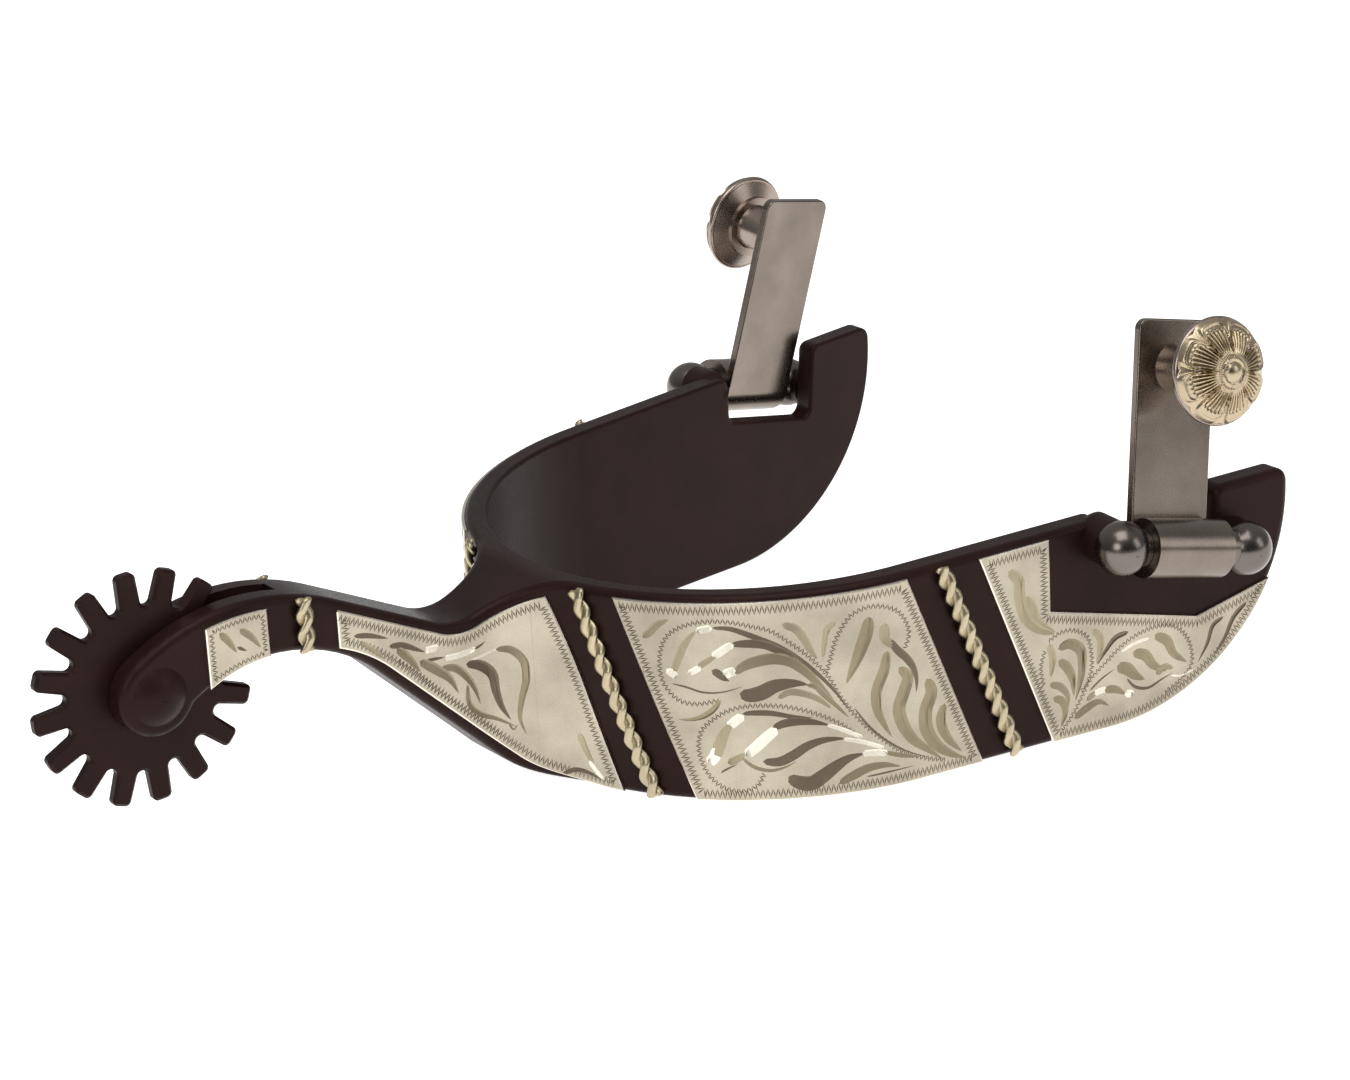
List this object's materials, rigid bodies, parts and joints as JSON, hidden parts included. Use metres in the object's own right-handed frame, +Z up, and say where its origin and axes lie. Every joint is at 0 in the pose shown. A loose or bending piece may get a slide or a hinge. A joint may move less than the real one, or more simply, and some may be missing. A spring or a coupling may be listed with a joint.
{
  "type": "western spur",
  "caption": "Western riding spur: a browned steel heel band with engraved overlay plates, a curved shank with a spinning toothed rowel, and swinging button straps.",
  "frame": {"origin": "on the ground plane, under the middle of the whole spur, midway between its sides", "axes": "+X forward, from the rowel to the tips of the heel band; +Y to the wearer's left; +Z up"},
  "size_m": [0.1671, 0.1137, 0.0566],
  "materials": {
    "browned_steel": "antique brown, waxed satin",
    "engraved_plate": "hand-engraved nickel silver",
    "twisted_wire": "twisted and flattened jeweller's bronze",
    "polished_steel": "darkened polished steel",
    "strap_steel": "brushed stainless",
    "gilt_cap": "cast, polished and toned"
  },
  "bodies": {
    "heel_band": {"yoke": "browned_steel", "rowel_pin": "browned_steel", "shank_tip_plate_right": "engraved_plate", "shank_flare_plate_right": "engraved_plate", "side_plate_right": "engraved_plate", "end_plate_right": "engraved_plate", "shank_rope_right": "twisted_wire", "heel_rope_right": "twisted_wire", "front_rope_right": "twisted_wire", "hinge_lug_rear_right": "polished_steel", "hinge_lug_front_right": "polished_steel", "hinge_pin_right": "polished_steel", "shank_tip_plate_left": "engraved_plate", "shank_flare_plate_left": "engraved_plate", "side_plate_left": "engraved_plate", "end_plate_left": "engraved_plate", "shank_rope_left": "twisted_wire", "heel_rope_left": "twisted_wire", "front_rope_left": "twisted_wire", "hinge_lug_rear_left": "polished_steel", "hinge_lug_front_left": "polished_steel", "hinge_pin_left": "polished_steel"},
    "rowel_wheel": {"rowel": "browned_steel"},
    "button_right": {"button_strap_right": "strap_steel", "button_stud_right": "strap_steel", "button_cap_right": "gilt_cap"},
    "button_left": {"button_strap_left": "strap_steel", "button_stud_left": "strap_steel", "button_cap_left": "gilt_cap"}
  },
  "joints": [
    {"name": "rowel_spin", "type": "hinge", "parent": "heel_band", "child": "rowel_wheel", "pos_m": [-0.068, 0, 0.0265], "axis": [0, 1, 0], "continuous": true},
    {"name": "strap_swing_right", "type": "hinge", "parent": "heel_band", "child": "button_right", "pos_m": [0.06249, -0.04986, 0.02523], "axis": [0.9699, -0.1208, -0.2113], "range_deg": [-64, 160]},
    {"name": "strap_swing_left", "type": "hinge", "parent": "heel_band", "child": "button_left", "pos_m": [0.06249, 0.04986, 0.02523], "axis": [-0.9699, -0.1208, 0.2113], "range_deg": [-68, 156]}
  ]
}
